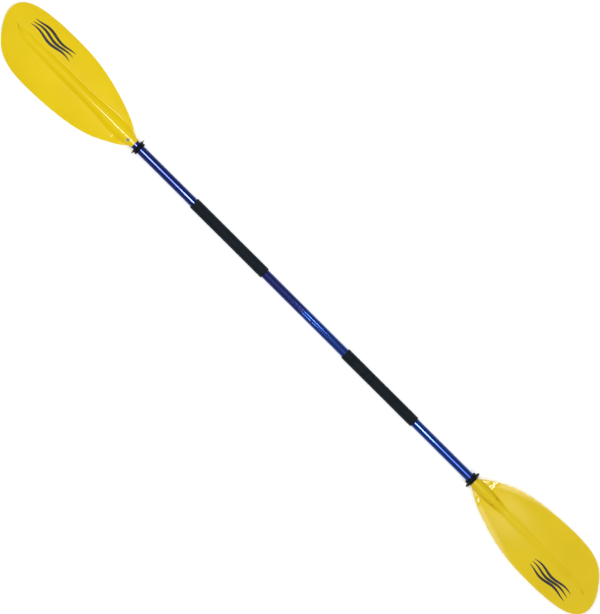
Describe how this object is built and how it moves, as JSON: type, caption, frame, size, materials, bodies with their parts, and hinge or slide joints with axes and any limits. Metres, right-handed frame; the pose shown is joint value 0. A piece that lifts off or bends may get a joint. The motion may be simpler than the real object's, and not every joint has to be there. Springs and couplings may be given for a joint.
{
  "type": "kayak paddle",
  "caption": "Double-bladed kayak paddle with asymmetric blades on a tubular shaft that comes apart at a snap-button ferrule, with foam grips and sliding drip rings.",
  "frame": {"origin": "on the shaft axis at the middle of the whole paddle, 12 mm from the seam between its two halves", "axes": "X along the shaft, +X towards the half with the snap-button holes; +Z the way that the left blade's back face and the right blade's power face look; +Y the side of the left blade's long edge"},
  "size_m": [2.1382, 0.181, 0.0484],
  "materials": {
    "blade_plastic": "moulded, semi-gloss, yellow",
    "blue_tube": "blue anodised, drawn tube",
    "sleeve_plastic": "glass-filled, black",
    "black_plastic": "moulded, black",
    "grip_foam": "closed-cell foam, matt black",
    "black_rubber": "moulded soft rubber, satin black",
    "rivet_aluminium": "domed blind rivet, dull",
    "steel": "bright stainless",
    "spring_steel": "rolled spring steel",
    "bung_foam": "closed-cell polyethylene foam, off-white"
  },
  "bodies": {
    "left_half": {"left_shaft": "blue_tube", "left_blade": "blade_plastic", "left_grip": "grip_foam", "ferrule_sleeve": "sleeve_plastic", "ferrule_rivet": "rivet_aluminium", "ferrule_rivet_mandrel": "steel", "left_blade_rivet": "rivet_aluminium", "left_rivet_mandrel": "steel", "left_inner_bung": "bung_foam", "left_outer_bung": "bung_foam", "button_spring": "spring_steel"},
    "snap_button": {"snap_button": "black_plastic"},
    "left_drip_ring": {"left_drip_ring": "black_rubber"},
    "seam_washer": {"seam_washer": "black_plastic"},
    "right_half": {"right_shaft": "blue_tube", "right_blade": "blade_plastic", "right_grip": "grip_foam", "right_blade_rivet": "rivet_aluminium", "right_rivet_mandrel": "steel", "right_inner_bung": "bung_foam", "right_outer_bung": "bung_foam"},
    "right_drip_ring": {"right_drip_ring": "black_rubber"}
  },
  "joints": [
    {"name": "button_press", "type": "slide", "parent": "left_half", "child": "snap_button", "axis": [0, -0.3007, 0.9537], "range_m": [-0.005, 0], "stiffness_N_per_m": 1000, "springref_m": 0.003, "deforming": ["button_spring"]},
    {"name": "take_apart", "type": "slide", "parent": "left_half", "child": "seam_washer", "axis": [1, 0, 0], "range_m": [0, 0.15], "deforming": ["snap_button", "button_spring"]},
    {"name": "feather", "type": "hinge", "parent": "seam_washer", "child": "right_half", "pos_m": [0, 0, 0], "axis": [1, 0, 0], "range_deg": [-180, 180], "deforming": ["snap_button", "button_spring"]},
    {"name": "left_ring_slide", "type": "slide", "parent": "left_half", "child": "left_drip_ring", "axis": [-1, 0, 0], "range_m": [-0.188, 0.008]},
    {"name": "right_ring_slide", "type": "slide", "parent": "right_half", "child": "right_drip_ring", "axis": [1, 0, 0], "range_m": [-0.204, 0]}
  ]
}
